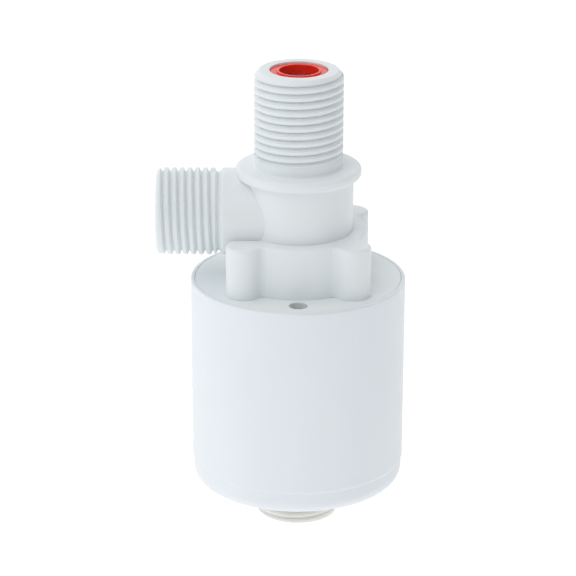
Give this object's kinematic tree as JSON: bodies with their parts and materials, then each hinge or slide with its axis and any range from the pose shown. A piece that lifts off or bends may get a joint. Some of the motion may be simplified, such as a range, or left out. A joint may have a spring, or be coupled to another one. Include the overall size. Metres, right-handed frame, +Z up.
{
  "type": "float valve",
  "caption": "Pilot-operated float valve: threaded top inlet with red strainer, side outlet, collar, lobed bonnet and round float cup with a level port below.",
  "frame": {"origin": "centre of the collar's upper face, on the valve's vertical axis", "axes": "+Z up along the inlet thread, -X along the outlet thread, -Y to the side with the vent hole"},
  "size_m": [0.0581, 0.0504, 0.1104],
  "materials": {
    "body_plastic": "matte moulded white plastic, faintly grey-blue",
    "plate_plastic": "matte moulded white plastic, faintly grey-blue",
    "cup_plastic": "matte moulded white plastic, faintly blue",
    "cream_plastic": "matte moulded cream plastic",
    "red_plastic": "glossy red plastic",
    "float_plastic": "matte white plastic",
    "acetal": "satin white acetal",
    "black_rubber": "matte black rubber",
    "brass": "turned brass",
    "screw_steel": "stainless steel",
    "spring_steel": "stainless spring wire",
    "steel_mesh": "stainless woven mesh"
  },
  "bodies": {
    "housing": {"valve_body": "body_plastic", "inlet_strainer": "red_plastic", "strainer_screen": "steel_mesh", "main_diaphragm": "black_rubber", "diaphragm_spring": "spring_steel", "pilot_plate": "plate_plastic", "pilot_nozzle": "brass", "clamp_screws": "screw_steel", "float_cup": "cup_plastic", "level_port": "cream_plastic", "port_washer": "black_rubber", "stem_guide": "acetal", "lever_pin": "screw_steel"},
    "diaphragm_poppet": {"diaphragm_top_plate": "acetal", "diaphragm_spring_plate": "acetal", "bleed_rivet": "brass"},
    "float": {"float_shell": "float_plastic", "float_lid": "float_plastic", "float_stem": "acetal", "stem_clip": "spring_steel", "link_pin": "screw_steel"},
    "lever": {"pilot_lever": "acetal", "pilot_pad": "black_rubber"}
  },
  "joints": [
    {"name": "diaphragm_slide", "type": "slide", "parent": "housing", "child": "diaphragm_poppet", "axis": [0, 0, -1], "range_m": [0, 0.002], "stiffness_N_per_m": 200, "springref_m": -0.004, "deforming": ["main_diaphragm", "diaphragm_spring"]},
    {"name": "float_slide", "type": "slide", "parent": "housing", "child": "float", "axis": [0, 0, 1], "range_m": [0, 0.005]},
    {"name": "lever_hinge", "type": "hinge", "parent": "housing", "child": "lever", "pos_m": [-0.012, 0, -0.04135], "axis": [0, -1, 0], "range_deg": [0, 23.55]}
  ],
  "couplings": [
    {"joint": "lever_hinge", "follows": "float_slide", "rad_per_m": 82.158}
  ]
}
